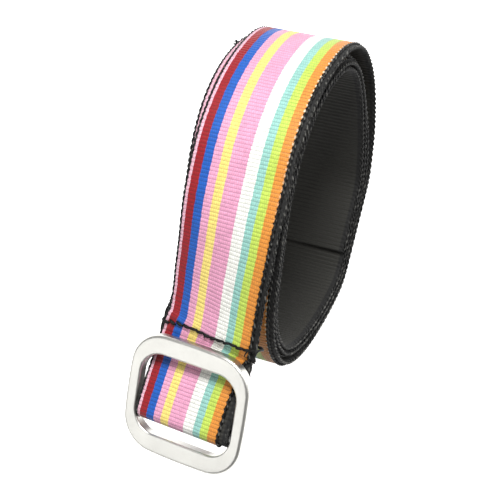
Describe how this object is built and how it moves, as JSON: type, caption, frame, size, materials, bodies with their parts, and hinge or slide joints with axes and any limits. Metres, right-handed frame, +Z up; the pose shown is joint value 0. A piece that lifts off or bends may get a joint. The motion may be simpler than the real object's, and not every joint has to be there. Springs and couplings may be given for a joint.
{
  "type": "luggage strap",
  "caption": "Coiled webbing strap with a rainbow-striped ribbon sewn on its outer face and an open rounded-square ring buckle held by a cross bar in a sewn loop.",
  "frame": {"origin": "bottom centre of the bounding box, on the floor under the coil", "axes": "+Z up with the coil lying on its back, +Y across the strap, +X from the coil towards the buckle"},
  "size_m": [0.1653, 0.0494, 0.0964],
  "materials": {
    "webbing": "matte ribbed nylon",
    "ribbon": "woven stripes, soft sheen",
    "thread": "matte black thread",
    "ring": "satin",
    "bar": "satin"
  },
  "bodies": {
    "strap": {"webbing": "webbing", "striped_ribbon": "ribbon", "edge_thread_left": "thread", "edge_thread_right": "thread", "loop_stitch": "thread"},
    "buckle": {"buckle_ring": "ring", "cross_bar": "bar"}
  },
  "joints": [
    {"name": "buckle_hinge", "type": "hinge", "parent": "strap", "child": "buckle", "pos_m": [0.06715, -0.00012, 0.07675], "axis": [0.0437, 0.9946, 0.0941], "range_deg": [0, 96]}
  ]
}
